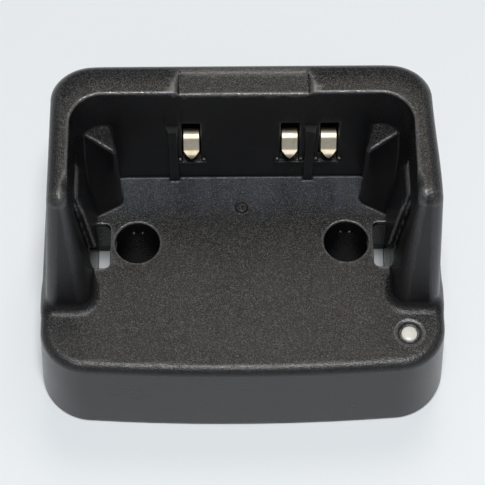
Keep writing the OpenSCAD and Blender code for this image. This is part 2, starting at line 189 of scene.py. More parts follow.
housingLow, housingHigh = (np.array(corner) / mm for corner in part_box("top_housing"))
housing = {
    # all in millimetres
    "deckZ": 30,
    "wall": 2.2,
    "baseLean": 2,
    "baseBackLean": 0.2,
    "backLean": 0.25,                 # of the rear wall, up to the rim
    "frontBow": 1.4,
    "frontCornerR": 14,
    "rearCornerR": 9.5,
    "deckEdgeR": 2.6,
    "baseEdgeR": 0.5,
    "armHalfWidth": (49.9, 46.4),     # at the deck, at the rim
    "rightFlare": 1.2,                # the right arm stands a little further out at its front
    "armFront": (-14.8, -5.2),
    "armOuterR": 3,
    "armInnerR": (3.8, 1.9),
    "pocketHalfWidth": (38, 41.7),
    "pocketBack": (23.4, 24.2),
    "pocketCornerR": 8,
    "rimOuterR": (3, 2.5),            # on the arms, on the back wall
    "rimCrown": 0.032,                # how fast the rim's top falls away from the pocket
    "rimFlat": 1.6,
    "rimInnerR": 0.45,
    "footFillet": 2.4,                # round the arms' front ends
    "backFillet": 0.5,
    "ledgeFillet": 0.7,               # added along the ledge outside the arms
    "panelX": 0.6,
    "panelHalfWidth": 16.9,
    "panelDepth": 0.9,
    "panelFrontY": 15,
    "ribX": 17.4,
    "ribHalfWidth": (1.2, 1.9),       # below and above the step at ribTop
    "ribProud": (1.1, 0.14),
    "ribTop": 55,
    "wellX": 26.9,
    "wellY": 4.2,
    "wellR": (5.8, 5.1),
    "wellNeck": 4.5,
    "slotX": (33.9, 39),
    "slotY": (-3, 9.7),
    "slotR": 1.4,
    "shaftBack": 16.8,
    "shaftWall": 1.6,
    "lens": (41.9, -21.8),
    "lensDishR": 3.3,
    "contactX": [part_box(node)[0][0] / mm / 2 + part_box(node)[1][0] / mm / 2
                 for node in ("contact_left", "contact_middle", "contact_right")],
    "windowHalfWidth": 2.45,
    "windowZ": (38.9, 56.3),
    "coverScrews": [(-32, -24), (30, -26), (-34, 26), (34, 26)],
    "bossR": 3,
    "pilotR": 1.1,
    "pilotDepth": 14,
    "pip": (0, 14.1),
    "inlet": ((-4.7, 28.5, 10), (4.7, 40, 21.4)),
    "triangles": 180000,
}
guideBlock = {
    # in millimetres; the blocks in the pocket's rear corners
    "turnHeight": 26,                 # over which the front face swings from one slope to the other
    "faceLow": (15.2, -0.54, 31.4),   # y, slope to the side, and the x that y is given at
    "faceHigh": (16.4, 0.49, 31.6),
    "inner": (30.8, 0.27, 16.7),      # x, slope to the back, and the y that x is given at
    "shelf": (25, 0.35, 31.5),        # height above the deck, slope, and its x
    "noseR": 1.5,
    "shelfR": 0.9,
    "filletR": 0.5,
}
tongue = {
    # in millimetres; the retaining tongue in each arm, and the groove ahead of it
    "bottomZ": 34.6,
    "topZ": 62,
    "proud": 1.4,
    "inWall": 1,
    "frontY": 0.3,
    "backY": 12,
    "grooveFrontY": -3,
    "grooveInWall": 1.5,
    "grooveTopZ": 59,
}


def sloping(line, value):
    # one coordinate of a leaning face, given as (start, slope, where the start is)
    start, slope, where = line
    return start + slope * (value - where)


def housingPlans(x, y, z):
    # outlines seen from above at every height, and where the pocket's faces stand
    h = housing
    low, rim = housingLow[2], housingHigh[2]
    up = (z - low) / (h["deckZ"] - low)
    above = np.maximum((z - h["deckZ"]) / (rim - h["deckZ"]), -0.1)
    bow = h["frontBow"] * (np.minimum(np.abs(x), 39) / 40) ** 2 * np.clip((8 - y) / 30, 0, 1)
    lean = h["baseLean"] * up
    base = plate(x, y - bow, housingHigh[0] - lean, housingLow[1] + lean,
                 housingHigh[1] - h["baseBackLean"] * up, h["frontCornerR"] - lean, h["rearCornerR"] - up)
    armFront = mix(*h["armFront"], above)
    backLine = housingHigh[1] - h["backLean"] * (z - low) / (rim - low)
    flare = h["rightFlare"] * above * fade(-y, -26, 2) * (x > 0)
    upper = plate(x, y, mix(*h["armHalfWidth"], above) + flare, armFront, backLine,
                  h["armOuterR"], h["rearCornerR"])
    pocketHalf = mix(*h["pocketHalfWidth"], above)
    pocketBack = mix(*h["pocketBack"], above)
    pocket = plate(x, y, pocketHalf, -200, pocketBack, h["pocketCornerR"], h["pocketCornerR"])
    return {"above": above, "base": base, "upper": upper, "armFront": armFront,
            "pocket": pocket, "pocketHalf": pocketHalf, "pocketBack": pocketBack}


def wallsAndArms(x, y, z, plans):
    # back wall and arms with a rounded rim and the plain panel, and the pocket taken out
    h = housing
    rim = housingHigh[2]
    rimR = mix(*h["rimOuterR"], fade(y, 14, 28))
    crown = h["rimCrown"] * np.maximum(plans["pocket"] - h["rimFlat"], 0) ** 2
    upper = roundBoth(plans["upper"], z - rim + crown, rimR)
    panelSide = np.abs(x - h["panelX"]) - h["panelHalfWidth"]
    panel = np.maximum(panelSide - (z - rim) * 1.3, rim - h["panelDepth"] - z)
    upper = roundCut(upper, np.maximum(panel, h["panelFrontY"] - y), 0.25)
    atFront = fade(-(y - plans["armFront"]), -9, -4)
    innerR = mix(h["rimInnerR"], mix(*h["armInnerR"], plans["above"]), atFront)
    return roundCut(upper, plans["pocket"], innerR)


def guideRibs(x, y, z, plans):
    # two ribs up the back wall, broad and faint above their step, gone at the rim
    h = housing
    step = fade(z, h["ribTop"] - 1.2, h["ribTop"] + 0.4)
    back = plans["pocketBack"]
    proud = mix(*h["ribProud"], step) - 0.4 * fade(z, 60, 65)
    across = np.abs(np.abs(x) - h["ribX"]) - mix(*h["ribHalfWidth"], step)
    rib = roundBoth(across, np.maximum(back - proud - y, y - back - 1), 0.2)
    return np.maximum(rib, z - housingHigh[2] + 2.2)


def guideBlocks(x, y, z):
    g = guideBlock
    side, deck = np.abs(x), housing["deckZ"]
    climb = np.clip((z - deck) / g["turnHeight"], 0, 1)
    faceY = mix(sloping(g["faceLow"], side), sloping(g["faceHigh"], side), climb)
    nose = roundBoth((sloping(g["inner"], y) - side) * 0.96, (faceY - y) * 0.88, g["noseR"])
    rise, slope, where = g["shelf"]
    nose = roundBoth(nose, z - (deck + rise + slope * (side - where)), g["shelfR"])
    return np.maximum(np.maximum(nose, y - 24.5), side - 43)


def withTongues(body, x, y, z, plans):
    t = tongue
    outward = np.abs(x) - plans["pocketHalf"]
    proud = t["proud"] * fade(-z, -61, -52)
    bar = block(outward, y, z, (-t["proud"], t["frontY"], t["bottomZ"]),
                (t["inWall"], t["backY"], t["topZ"]), 0.5)
    body = roundUnion(body, bar + (t["proud"] - proud) * 0.9, 0.3)
    groove = block(outward, y, z, (-3, t["grooveFrontY"], housing["deckZ"] - 4),
                   (t["grooveInWall"], t["frontY"], t["grooveTopZ"]), 0.6)
    return roundCut(body, groove, 0.4)


def hollowed(body, z, plans):
    wall = housing["wall"]
    inBase = np.maximum(plans["base"] + wall, z - (housing["deckZ"] - wall))
    inUpper = np.maximum(plans["upper"] + wall, z - (housingHigh[2] - 5))
    inUpper = np.maximum(inUpper, wall - plans["pocket"])
    return roundCut(body, np.minimum(inBase, inUpper), 0.3)


def withBosses(body, x, y, z, bottom, top):
    h = housing
    low = housingLow[2]
    for x0, y0 in h["coverScrews"]:
        body = np.minimum(body, post(x, y, z, x0, y0, h["bossR"], bottom + 0.1, top))
        body = np.maximum(body, -post(x, y, z, x0, y0, h["pilotR"], low - 1, low + h["pilotDepth"]))
    return body


def withWells(body, x, y, z, bottom, top):
    # each screw well is a tube under the deck with a coned mouth
    h = housing
    deck, (mouthR, tubeR), neckDepth = h["deckZ"], h["wellR"], h["wellNeck"]
    axis = np.hypot(np.abs(x) - h["wellX"], y - h["wellY"])
    body = np.minimum(body, np.maximum(axis - mouthR - 1.8, np.maximum(bottom - z, z - top)))
    neck = fade(z, deck - neckDepth, deck - neckDepth + 0.01)
    cone = mix(tubeR + 0.25, mouthR, (z - deck + neckDepth) / neckDepth)
    return roundCut(body, axis - mix(tubeR, cone, neck), 0.35)


def withShafts(body, x, y, z, bottom, top):
    # open shaft under each tongue, and its slot through the deck
    h = housing
    side, deck, wall, thick = np.abs(x), h["deckZ"], h["wall"], h["shaftWall"]
    (near, far), (front, back) = h["slotX"], h["slotY"]
    chimney = block(side, y, z, (near - thick, front - thick, bottom),
                    (far + thick, h["shaftBack"] + thick, top), 0)
    body = np.minimum(body, chimney)
    shaft = block(side, y, z, (near, front, -5), (far, h["shaftBack"], deck - wall), 0)
    slot = plate(side - (near + far) / 2, y, (far - near) / 2, front, back, h["slotR"], h["slotR"])
    slot = np.maximum(slot, np.maximum(deck - wall - 1 - z, z - tongue["bottomZ"]))
    return roundCut(body, np.minimum(shaft, slot), 0.25)


def withWindows(body, x, y, z):
    # contact windows, each over a sill with two nubs
    h = housing
    (bottom, top), half = h["windowZ"], h["windowHalfWidth"]
    for cx in h["contactX"]:
        sill = block(x - cx, y, z, (-3.8, 22.8, 37.9), (3.8, 24.6, bottom), 0.2)
        nub = block(np.abs(x - cx) - 3.05, y, z, (-0.5, 22.95, 38.4), (0.5, 24.6, 39.8), 0.25)
        body = roundUnion(body, np.minimum(sill, nub), 0.15)
        body = roundCut(body, block(x - cx, y, z, (-half, 21, bottom), (half, 28, top), 0.2), 0.2)
    return body


def withLensHole(body, x, y, z):
    deck = housing["deckZ"]
    axis = np.hypot(x - housing["lens"][0], y - housing["lens"][1])
    dish = np.maximum((axis - housing["lensDishR"] + 0.9 * (deck - z)) * 0.74, np.abs(z - deck - 0.25) - 1)
    body = roundCut(body, dish, 0.4)
    return np.maximum(body, -np.maximum(axis - 2.1, deck - 6 - z))


def housingDistance(x, y, z):
    # signed distance in millimetres from the whole moulding
    h = housing
    deck = h["deckZ"]
    plans = housingPlans(x, y, z)
    base = roundBoth(plans["base"], z - deck, h["deckEdgeR"])
    base = roundBoth(base, housingLow[2] - z, h["baseEdgeR"])
    upper = wallsAndArms(x, y, z, plans)
    upper = roundUnion(upper, guideRibs(x, y, z, plans), 0.15)
    upper = roundUnion(upper, guideBlocks(x, y, z), guideBlock["filletR"])
    upper = withTongues(upper, x, y, z, plans)
    foot = fade(-y, 4, 9)
    ledge = h["ledgeFillet"] * fade(np.abs(x), 46, 49) * (1 - foot)
    body = roundUnion(base, upper, mix(h["backFillet"], h["footFillet"], foot) + ledge)
    body = hollowed(body, z, plans)
    inside = (housingLow[2] + 2.2, deck - 1)      # from the bottom cover to the deck
    body = withBosses(body, x, y, z, *inside)
    body = withWells(body, x, y, z, *inside)
    body = withShafts(body, x, y, z, *inside)
    body = withWindows(body, x, y, z)
    body = roundUnion(body, post(x, y, z, *h["pip"], 1.55, deck - 1, deck + 0.7, 0.35), 0.2)
    body = withLensHole(body, x, y, z)
    return roundCut(body, block(x, y, z, *h["inlet"], 0.4), 0.3)


def axisPoints(stretches):
    # grid lines: each stretch is (start, end, step)
    points = [np.linspace(a, b, max(2, round((b - a) / step) + 1))[:-1] for a, b, step in stretches]
    return np.append(np.concatenate(points), stretches[-1][1])


def mirrored(points):
    return np.concatenate([-points[:0:-1], points])


housingGrid = {
    "x": mirrored(axisPoints([(0, 2.4, 0.4), (2.4, 8.4, 0.75), (8.4, 26.4, 0.4), (26.4, 33, 0.5),
                              (33, 39.6, 0.33), (39.6, 47.4, 0.5), (47.4, 53.8, 0.4)])),
    "y": axisPoints([(-35, -31, 0.35), (-31, -25.6, 0.8), (-25.6, -17.8, 0.45), (-17.8, -8, 0.5),
                     (-8, 12, 0.5), (12, 22, 0.5), (22, 26.4, 0.28), (26.4, 35.2, 0.5)]),
    "z": axisPoints([(0.3, 1.8, 0.3), (1.8, 4.2, 0.6), (4.2, 26, 1.2), (26, 32.8, 0.3), (32.8, 37.6, 0.6),
                     (37.6, 40, 0.3), (40, 54, 0.7), (54, 57, 0.35), (57, 65, 0.7), (65, 71, 0.3)]),
}


def surfaceOf(distance, axes):
    # one vertex in each grid cell that the surface crosses, one quad round each crossed grid line
    gx, gy, gz = (a.astype(np.float32) for a in axes)
    field = distance(gx[:, None, None], gy[None, :, None], gz[None, None, :])
    inside = field < 0
    counts = np.zeros(np.array(inside.shape) - 1, np.int8)
    for i in (0, 1):
        for j in (0, 1):
            for k in (0, 1):
                nx, ny, nz = counts.shape
                counts += inside[i:nx + i, j:ny + j, k:nz + k]
    active = (counts > 0) & (counts < 8)
    cells = np.argwhere(active)
    number = np.full(active.shape, -1, np.int64)
    number[active] = np.arange(len(cells))
    total = np.zeros((len(cells), 3))
    hits = np.zeros(len(cells))
    grids = [np.asarray(a, float) for a in axes]
    corners = [(i, j, k) for i in (0, 1) for j in (0, 1) for k in (0, 1)]
    for a in corners:
        for b in corners:
            if sum(b) != sum(a) + 1 or any(q < p for p, q in zip(a, b)):
                continue
            ia, ib = cells + a, cells + b
            fa = field[tuple(ia.T)].astype(float)
            fb = field[tuple(ib.T)].astype(float)
            cross = (fa < 0) != (fb < 0)
            t = np.where(cross, fa / np.where(cross, fa - fb, 1), 0)[:, None]
            pa = np.stack([grids[n][ia[:, n]] for n in range(3)], 1)
            pb = np.stack([grids[n][ib[:, n]] for n in range(3)], 1)
            total += np.where(cross[:, None], pa + (pb - pa) * t, 0)
            hits += cross
    points = total / hits[:, None]
    quads = []
    for axis in range(3):
        other = [n for n in range(3) if n != axis]
        shape = list(inside.shape)
        first = [slice(None)] * 3
        second = [slice(None)] * 3
        first[axis], second[axis] = slice(0, shape[axis] - 1), slice(1, shape[axis])
        for n in other:
            first[n] = second[n] = slice(1, shape[n] - 1)
        fromIn = inside[tuple(first)] & ~inside[tuple(second)]
        toIn = ~inside[tuple(first)] & inside[tuple(second)]
        for mask, flip in ((fromIn, axis == 1), (toIn, axis != 1)):
            at = np.argwhere(mask)
            at[:, other] += 1
            ring = []
            for du, dv in ((-1, -1), (0, -1), (0, 0), (-1, 0)):
                cell = at.copy()
                cell[:, other[0]] += du
                cell[:, other[1]] += dv
                ring.append(number[tuple(cell.T)])
            ring = np.stack(ring, 1)
            quads.append(ring[:, ::-1] if flip else ring)
    return points, np.concatenate(quads)


def slopeOf(distance, points, step=0.02):
    columns = []
    for n in range(3):
        shift = np.zeros(3)
        shift[n] = step
        columns.append(distance(*(points + shift).T) - distance(*(points - shift).T))
    slope = np.stack(columns, 1) / (2 * step)
    return slope


def pullOntoSurface(distance, points, rounds=3, reach=0.25):
    for _ in range(rounds):
        slope = slopeOf(distance, points)
        size = np.maximum((slope ** 2).sum(1), 0.2)
        move = slope * (distance(*points.T) / size)[:, None]
        length = np.linalg.norm(move, axis=1)[:, None]
        points = points - move * np.minimum(1, reach / np.maximum(length, 1e-9))
    return points


def meshFromArrays(name, points, quads):
    mesh = bpy.data.meshes.new(name)
    mesh.vertices.add(len(points))
    mesh.vertices.foreach_set("co", (points * mm).astype(np.float32).ravel())
    mesh.loops.add(quads.size)
    mesh.loops.foreach_set("vertex_index", quads.astype(np.int32).ravel())
    mesh.polygons.add(len(quads))
    mesh.polygons.foreach_set("loop_start", np.arange(0, quads.size, 4, dtype=np.int32))
    mesh.update(calc_edges=True)
    mesh.validate()
    return mesh


def triangleCount(mesh):
    return sum(len(face.vertices) - 2 for face in mesh.polygons)


def thinned(mesh, triangles):
    # fewer, larger triangles where the surface is flat
    work = bpy.data.objects.new("work", mesh)
    scene.collection.objects.link(work)
    fewer = work.modifiers.new("fewer", "DECIMATE")
    fewer.ratio = triangles / triangleCount(mesh)
    result = bpy.data.meshes.new_from_object(work.evaluated_get(bpy.context.evaluated_depsgraph_get()))
    bpy.data.objects.remove(work)
    bpy.data.meshes.remove(mesh)
    result.name = "topHousing"
    return result


def wearAndHighlightOf(points, reach=0.35):
    # how much each point's edge is painted lighter: real wear on outer edges only, plus a painted highlight
    # along them such as the deck's front edge; hardly at all inside the pocket, kept dark there as painted
    # shade
    curve = sum(housingDistance(*(points + side * step).T) for side in (-reach, reach) for step in np.eye(3))
    curve = (curve - 6 * housingDistance(*points.T)) / reach ** 2
    across, y, z = np.abs(points[:, 0]), points[:, 1], points[:, 2]
    touched = fade(z, housing["deckZ"] - 5, housing["deckZ"] - 3)
    # painted shade: edge lightening is held back inside the pocket, where shade falls
    inPocket = fade(y, 8, 12) * fade(-z, -66, -63) * fade(-across, -43, -42)
    return np.clip((curve - 0.2) / 1.1, 0, 1) * touched * (1 - 0.85 * inPocket)


def paleRearFloorOf(points):
    # the pocket's floor towards the back wall, where it is painted paler and bluer in streaks
    across, y, z = np.abs(points[:, 0]), points[:, 1], points[:, 2]
    return fade(-np.abs(z - housing["deckZ"]), -0.5, -0.2) * fade(y, 9, 19) * fade(-across, -40, -30)


def buildHousing():
    points, quads = surfaceOf(housingDistance, [housingGrid[key] for key in "xyz"])
    points = pullOntoSurface(housingDistance, points)
    mesh = meshFromArrays("topHousing", points, quads)
    print("housing surface:", len(points), "points", len(quads), "quads")
    mesh = thinned(mesh, housing["triangles"])
    flat = np.empty(len(mesh.vertices) * 3)
    mesh.vertices.foreach_get("co", flat)
    points = pullOntoSurface(housingDistance, flat.reshape(-1, 3) / mm, 2, 0.1)
    mesh.vertices.foreach_set("co", (points * mm).astype(np.float32).ravel())
    mesh.update()
    normals = slopeOf(housingDistance, points)
    normals /= np.maximum(np.linalg.norm(normals, axis=1), 1e-9)[:, None]
    mesh.shade_smooth()
    mesh.normals_split_custom_set_from_vertices([tuple(n) for n in normals])
    for name, values in (("edgeWearAndHighlight", wearAndHighlightOf(points)), ("paleRearFloor", paleRearFloorOf(points))):
        mesh.attributes.new(name, "FLOAT", "POINT").data.foreach_set("value", values.astype(np.float32))
    print("housing mesh:", len(mesh.vertices), "points", triangleCount(mesh), "triangles")
    mesh.materials.append(finishes["housing_plastic"])
    keepPiece("topHousingShell", mesh, "top_housing")


def newGroup(name, inputs, outputs):
    group = bpy.data.node_groups.new(name, "ShaderNodeTree")
    for label, kind, value in inputs:
        socket = group.interface.new_socket(label, in_out="INPUT", socket_type="NodeSocket" + kind)
        if value is not None:
            socket.default_value = value
    for label, kind in outputs:
        group.interface.new_socket(label, in_out="OUTPUT", socket_type="NodeSocket" + kind)
    return group, group.nodes.new("NodeGroupInput").outputs, group.nodes.new("NodeGroupOutput").inputs


def math2(tree, operation, a, b):
    # a Math node whose two inputs are sockets or plain numbers
    node = addNode(tree, "ShaderNodeMath", operation=operation)
    for socket, value in zip(node.inputs, (a, b)):
        if isinstance(value, (int, float)):
            socket.default_value = value
        else:
            tree.links.new(value, socket)
    return node.outputs[0]


def moved(tree, vector, scale):
    node = addNode(tree, "ShaderNodeVectorMath", operation="SCALE")
    tree.links.new(vector, node.inputs[0])
    if isinstance(scale, (int, float)):
        node.inputs["Scale"].default_value = scale
    else:
        tree.links.new(scale, node.inputs["Scale"])
    return node.outputs[0]


def makeGrainGroup():
    # texture of a spark-eroded mould: fine pits, and slow patches that vary the shade
    wanted = [("Vector", "Vector", None), ("Grains Per Metre", "Float", 2500), ("Pit Share", "Float", 0.5)]
    group, given, out = newGroup("mouldGrain", wanted, [("Height", "Float"), ("Patches", "Float")])
    at = moved(group, given["Vector"], given["Grains Per Metre"])
    fine = addNode(group, "ShaderNodeTexNoise", {"Scale": 1, "Detail": 2, "Roughness": 0.65})
    pits = addNode(group, "ShaderNodeTexVoronoi", {"Scale": 0.8}, feature="SMOOTH_F1")
    group.links.new(at, fine.inputs["Vector"])
    group.links.new(at, pits.inputs["Vector"])
    mixed = addNode(group, "ShaderNodeMix", data_type="FLOAT")
    group.links.new(given["Pit Share"], mixed.inputs[0])
    group.links.new(fine.outputs["Fac"], mixed.inputs[2])
    group.links.new(pits.outputs["Distance"], mixed.inputs[3])
    group.links.new(mixed.outputs[0], out["Height"])
    patches = addNode(group, "ShaderNodeTexNoise", {"Scale": 45, "Detail": 3, "Roughness": 0.6})
    group.links.new(given["Vector"], patches.inputs["Vector"])
    group.links.new(patches.outputs["Fac"], out["Patches"])
    return group


def makeDustAndSparkleGroup():
    # where the surface looks up: a faint film of dust, a few specks, and painted sparkle: single grain cells
    # painted light as glints of the lamps
    group, given, out = newGroup("dustAndPaintedSparkle", [("Vector", "Vector", None), ("Film", "Float", 0.1),
                                                 ("Specks", "Float", 0.5)],
                                 [("Mask", "Float"), ("Painted Sparkle", "Float")])
    specks = addNode(group, "ShaderNodeTexVoronoi", {"Scale": 260})
    film = addNode(group, "ShaderNodeTexNoise", {"Scale": 120, "Detail": 5})
    group.links.new(given["Vector"], specks.inputs["Vector"])
    group.links.new(given["Vector"], film.inputs["Vector"])
    near = math2(group, "LESS_THAN", specks.outputs["Distance"], 0.045)
    facing = addNode(group, "ShaderNodeNewGeometry")
    split = addNode(group, "ShaderNodeSeparateXYZ")
    group.links.new(facing.outputs["Normal"], split.inputs[0])
    upward = math2(group, "MAXIMUM", split.outputs["Z"], 0)
    total = math2(group, "ADD", math2(group, "MULTIPLY", near, given["Specks"]),
                  math2(group, "MULTIPLY", film.outputs["Fac"], given["Film"]))
    group.links.new(math2(group, "MULTIPLY", total, upward), out["Mask"])
    # painted sparkle: light cells stand in for glints of the lamps, strongest where the face looks straight
    # up
    paintedSparkle = addNode(group, "ShaderNodeTexVoronoi", {"Scale": 5200})
    group.links.new(given["Vector"], paintedSparkle.inputs["Vector"])
    chance = addNode(group, "ShaderNodeSeparateColor")
    group.links.new(paintedSparkle.outputs["Color"], chance.inputs[0])
    bright = math2(group, "MULTIPLY", spread(group, paintedSparkle.outputs["Distance"], 1, 0, 0.3, 0.6),
                   spread(group, chance.outputs[0], 0, 1, 0.45, 1))
    group.links.new(math2(group, "MULTIPLY", bright, math2(group, "POWER", upward, 3)), out["Painted Sparkle"])
    return group


def makeScratchGroup():
    # fine lines drawn along one direction, as on rolled or turned metal
    group, given, out = newGroup("drawnLines", [("Vector", "Vector", None), ("Stretch", "Vector", (1, 1, 1)),
                                                ("Lines Per Metre", "Float", 3000)],
                                 [("Height", "Float"), ("Tarnish", "Float")])
    pulled = addNode(group, "ShaderNodeVectorMath", operation="MULTIPLY")
    group.links.new(given["Vector"], pulled.inputs[0])
    group.links.new(given["Stretch"], pulled.inputs[1])
    lines = addNode(group, "ShaderNodeTexNoise", {"Scale": 1, "Detail": 3})
    group.links.new(moved(group, pulled.outputs[0], given["Lines Per Metre"]), lines.inputs["Vector"])
    group.links.new(lines.outputs["Fac"], out["Height"])
    tarnish = addNode(group, "ShaderNodeTexNoise", {"Scale": 420, "Detail": 4, "Roughness": 0.7})
    group.links.new(given["Vector"], tarnish.inputs["Vector"])
    group.links.new(tarnish.outputs["Fac"], out["Tarnish"])
    return group


def placeGroup(tree, group, **values):
    node = addNode(tree, "ShaderNodeGroup", node_tree=group)
    coords = addNode(tree, "ShaderNodeTexCoord")
    tree.links.new(coords.outputs["Object"], node.inputs["Vector"])
    for key, value in values.items():
        node.inputs[key.replace("_", " ")].default_value = value
    return node.outputs


def blendColour(tree, factor, first, second):
    node = addNode(tree, "ShaderNodeMix", data_type="RGBA")
    tree.links.new(factor, node.inputs[0])
    for socket, value in zip((node.inputs[6], node.inputs[7]), (first, second)):
        if isinstance(value, tuple):
            socket.default_value = value
        else:
            tree.links.new(value, socket)
    return node.outputs[2]


def spread(tree, value, low, high, fromLow=0.3, fromHigh=0.7):
    node = addNode(tree, "ShaderNodeMapRange", {"From Min": fromLow, "From Max": fromHigh,
                                                "To Min": low, "To Max": high})
    tree.links.new(value, node.inputs["Value"])
    return node.outputs["Result"]


def addBump(tree, shader, height, distance, strength=1.0):
    bump = addNode(tree, "ShaderNodeBump", {"Strength": strength, "Distance": distance})
    tree.links.new(height, bump.inputs["Height"])
    tree.links.new(bump.outputs["Normal"], shader.inputs["Normal"])


grainGroup = makeGrainGroup()
dustAndSparkleGroup = makeDustAndSparkleGroup()
scratchGroup = makeScratchGroup()

plastics = {
    # shades, roughness range, grains per metre, share of pits, depth, specular level, dust, edge wear with
    # painted highlight, pale floor tint, painted sparkle
    "housingPlastic": {"dark": (0.0062, 0.0062, 0.0072, 1), "light": (0.0092, 0.0092, 0.0102, 1),
                       "roughness": (0.22, 0.28), "grains": 3300, "pits": 0.4, "depth": 0.00015,
                       "shine": 0.31, "edgeShine": 1, "film": 0.01, "specks": 0.05,
                       # edge colour for wear and painted highlight, pale floor tint, and painted sparkle
                       # colour
                       "lightened": (0.17, 0.17, 0.172, 1),
                       "paleTint": (0.026, 0.033, 0.043, 1), "paintedSparkle": (0.15, 0.146, 0.136, 1)},
    "coverPlastic": {"dark": (0.014, 0.014, 0.016, 1), "light": (0.021, 0.021, 0.023, 1),
                     "roughness": (0.5, 0.62), "grains": 1700, "pits": 0.7, "depth": 0.0001,
                     "shine": 0.45, "film": 0.01, "specks": 0.0, "lightened": None},
    "mouldedBlack": {"dark": (0.01, 0.01, 0.011, 1), "light": (0.018, 0.018, 0.019, 1),
                     "roughness": (0.42, 0.6), "grains": 6000, "pits": 0.3, "depth": 0.00002,
                     "shine": 0.5, "film": 0.03, "specks": 0.0, "lightened": None},
    "footRubber": {"dark": (0.028, 0.028, 0.029, 1), "light": (0.045, 0.045, 0.046, 1),
                   "roughness": (0.75, 0.9), "grains": 3200, "pits": 0.2, "depth": 0.00004,
                   "shine": 0.3, "film": 0.05, "specks": 0.3, "lightened": None},
}


def plasticFinish(name):
    look = plastics[name]
    mat, tree, shader = newMaterial(name)
    grain = placeGroup(tree, grainGroup, Grains_Per_Metre=look["grains"], Pit_Share=look["pits"])
    dustAndSparkle = placeGroup(tree, dustAndSparkleGroup, Film=look["film"], Specks=look["specks"])
    colour = blendColour(tree, spread(tree, grain["Patches"], 0, 1), look["dark"], look["light"])
    rough = spread(tree, grain["Patches"], *look["roughness"])
    if look["lightened"]:
        # edges painted lighter: real wear, plus a painted highlight along the deck's front edge, kept down
        # inside the pocket as painted shade
        edge = addNode(tree, "ShaderNodeAttribute", attribute_name="edgeWearAndHighlight")
        paleTint = math2(tree, "MULTIPLY", edge.outputs["Fac"], spread(tree, grain["Height"], 0.1, 0.9))
        colour = blendColour(tree, paleTint, colour, look["lightened"])
        rough = math2(tree, "SUBTRACT", rough, math2(tree, "MULTIPLY", edge.outputs["Fac"], 0.08))
        # the pocket floor near the back wall painted paler and bluer in streaks
        rearFloor = addNode(tree, "ShaderNodeAttribute", attribute_name="paleRearFloor")
        streaks = placeGroup(tree, scratchGroup, Stretch=(1, 0.05, 1), Lines_Per_Metre=420)
        lightened = math2(tree, "MULTIPLY", rearFloor.outputs["Fac"], spread(tree, streaks["Height"], 0.35, 1))
        colour = blendColour(tree, lightened, colour, look["paleTint"])
    # painted sparkle: light grain cells stand in for glints on faces that look up
    if "paintedSparkle" in look:
        colour = blendColour(tree, dustAndSparkle["Painted Sparkle"], colour, look["paintedSparkle"])
    colour = blendColour(tree, dustAndSparkle["Mask"], colour, (0.4, 0.39, 0.37, 1))
    tree.links.new(colour, shader.inputs["Base Color"])
    tree.links.new(rough, shader.inputs["Roughness"])
    shader.inputs["Specular IOR Level"].default_value = look["shine"]
    if look["lightened"]:
        shine = spread(tree, edge.outputs["Fac"], look["shine"], look["edgeShine"], 0, 1)
        tree.links.new(shine, shader.inputs["Specular IOR Level"])
    addBump(tree, shader, grain["Height"], look["depth"])
    return mat


metals = {
    # finish: bright and tarnished colour, roughness range, direction that the lines are drawn along, depth
    "contactMetal": {"bright": (0.86, 0.8, 0.66, 1), "tarnished": (0.76, 0.64, 0.43, 1),
                     "roughness": (0.5, 0.6), "stretch": (1, 0.08, 0.08), "depth": 0.000006},
    "screwSteel": {"bright": (0.6, 0.6, 0.61, 1), "tarnished": (0.36, 0.35, 0.34, 1),
                   "roughness": (0.3, 0.48), "stretch": (1, 1, 0.2), "depth": 0.00001},
    "canAluminium": {"bright": (0.78, 0.79, 0.8, 1), "tarnished": (0.6, 0.6, 0.62, 1),
                     "roughness": (0.28, 0.42), "stretch": (0.3, 0.3, 1), "depth": 0.000006},
}


def metalFinish(name):
    look = metals[name]
    mat, tree, shader = newMaterial(name)
    lines = placeGroup(tree, scratchGroup, Stretch=look["stretch"])
    mask = spread(tree, lines["Tarnish"], 0, 1, 0.42, 0.68)
    tree.links.new(blendColour(tree, mask, look["bright"], look["tarnished"]), shader.inputs["Base Color"])
    tree.links.new(spread(tree, lines["Tarnish"], *look["roughness"]), shader.inputs["Roughness"])
    shader.inputs["Metallic"].default_value = 1
    addBump(tree, shader, lines["Height"], look["depth"])
    return mat


def boardFinish():
    # green solder mask over copper tracks, with small plated pads
    mat, tree, shader = newMaterial("boardLaminate")
    coords = addNode(tree, "ShaderNodeTexCoord")
    tracks = addNode(tree, "ShaderNodeTexBrick", {"Scale": 160, "Mortar Size": 0.05, "Mortar Smooth": 0.2,
                                                 "Brick Width": 1.7, "Row Height": 0.4}, offset=0.37)
    pads = addNode(tree, "ShaderNodeTexVoronoi", {"Scale": 210, "Randomness": 0.85})
    for node in (tracks, pads):
        tree.links.new(coords.outputs["Object"], node.inputs["Vector"])
    mask = blendColour(tree, tracks.outputs["Fac"], (0.008, 0.075, 0.03, 1), (0.016, 0.14, 0.055, 1))
    pad = math2(tree, "LESS_THAN", pads.outputs["Distance"], 0.13)
    tree.links.new(blendColour(tree, pad, mask, (0.62, 0.5, 0.26, 1)), shader.inputs["Base Color"])
    tree.links.new(pad, shader.inputs["Metallic"])
    grain = placeGroup(tree, grainGroup, Grains_Per_Metre=900)
    tree.links.new(spread(tree, grain["Patches"], 0.3, 0.45), shader.inputs["Roughness"])
    shader.inputs["Coat Weight"].default_value = 0.3
    addBump(tree, shader, tracks.outputs["Fac"], 0.00003)
    return mat


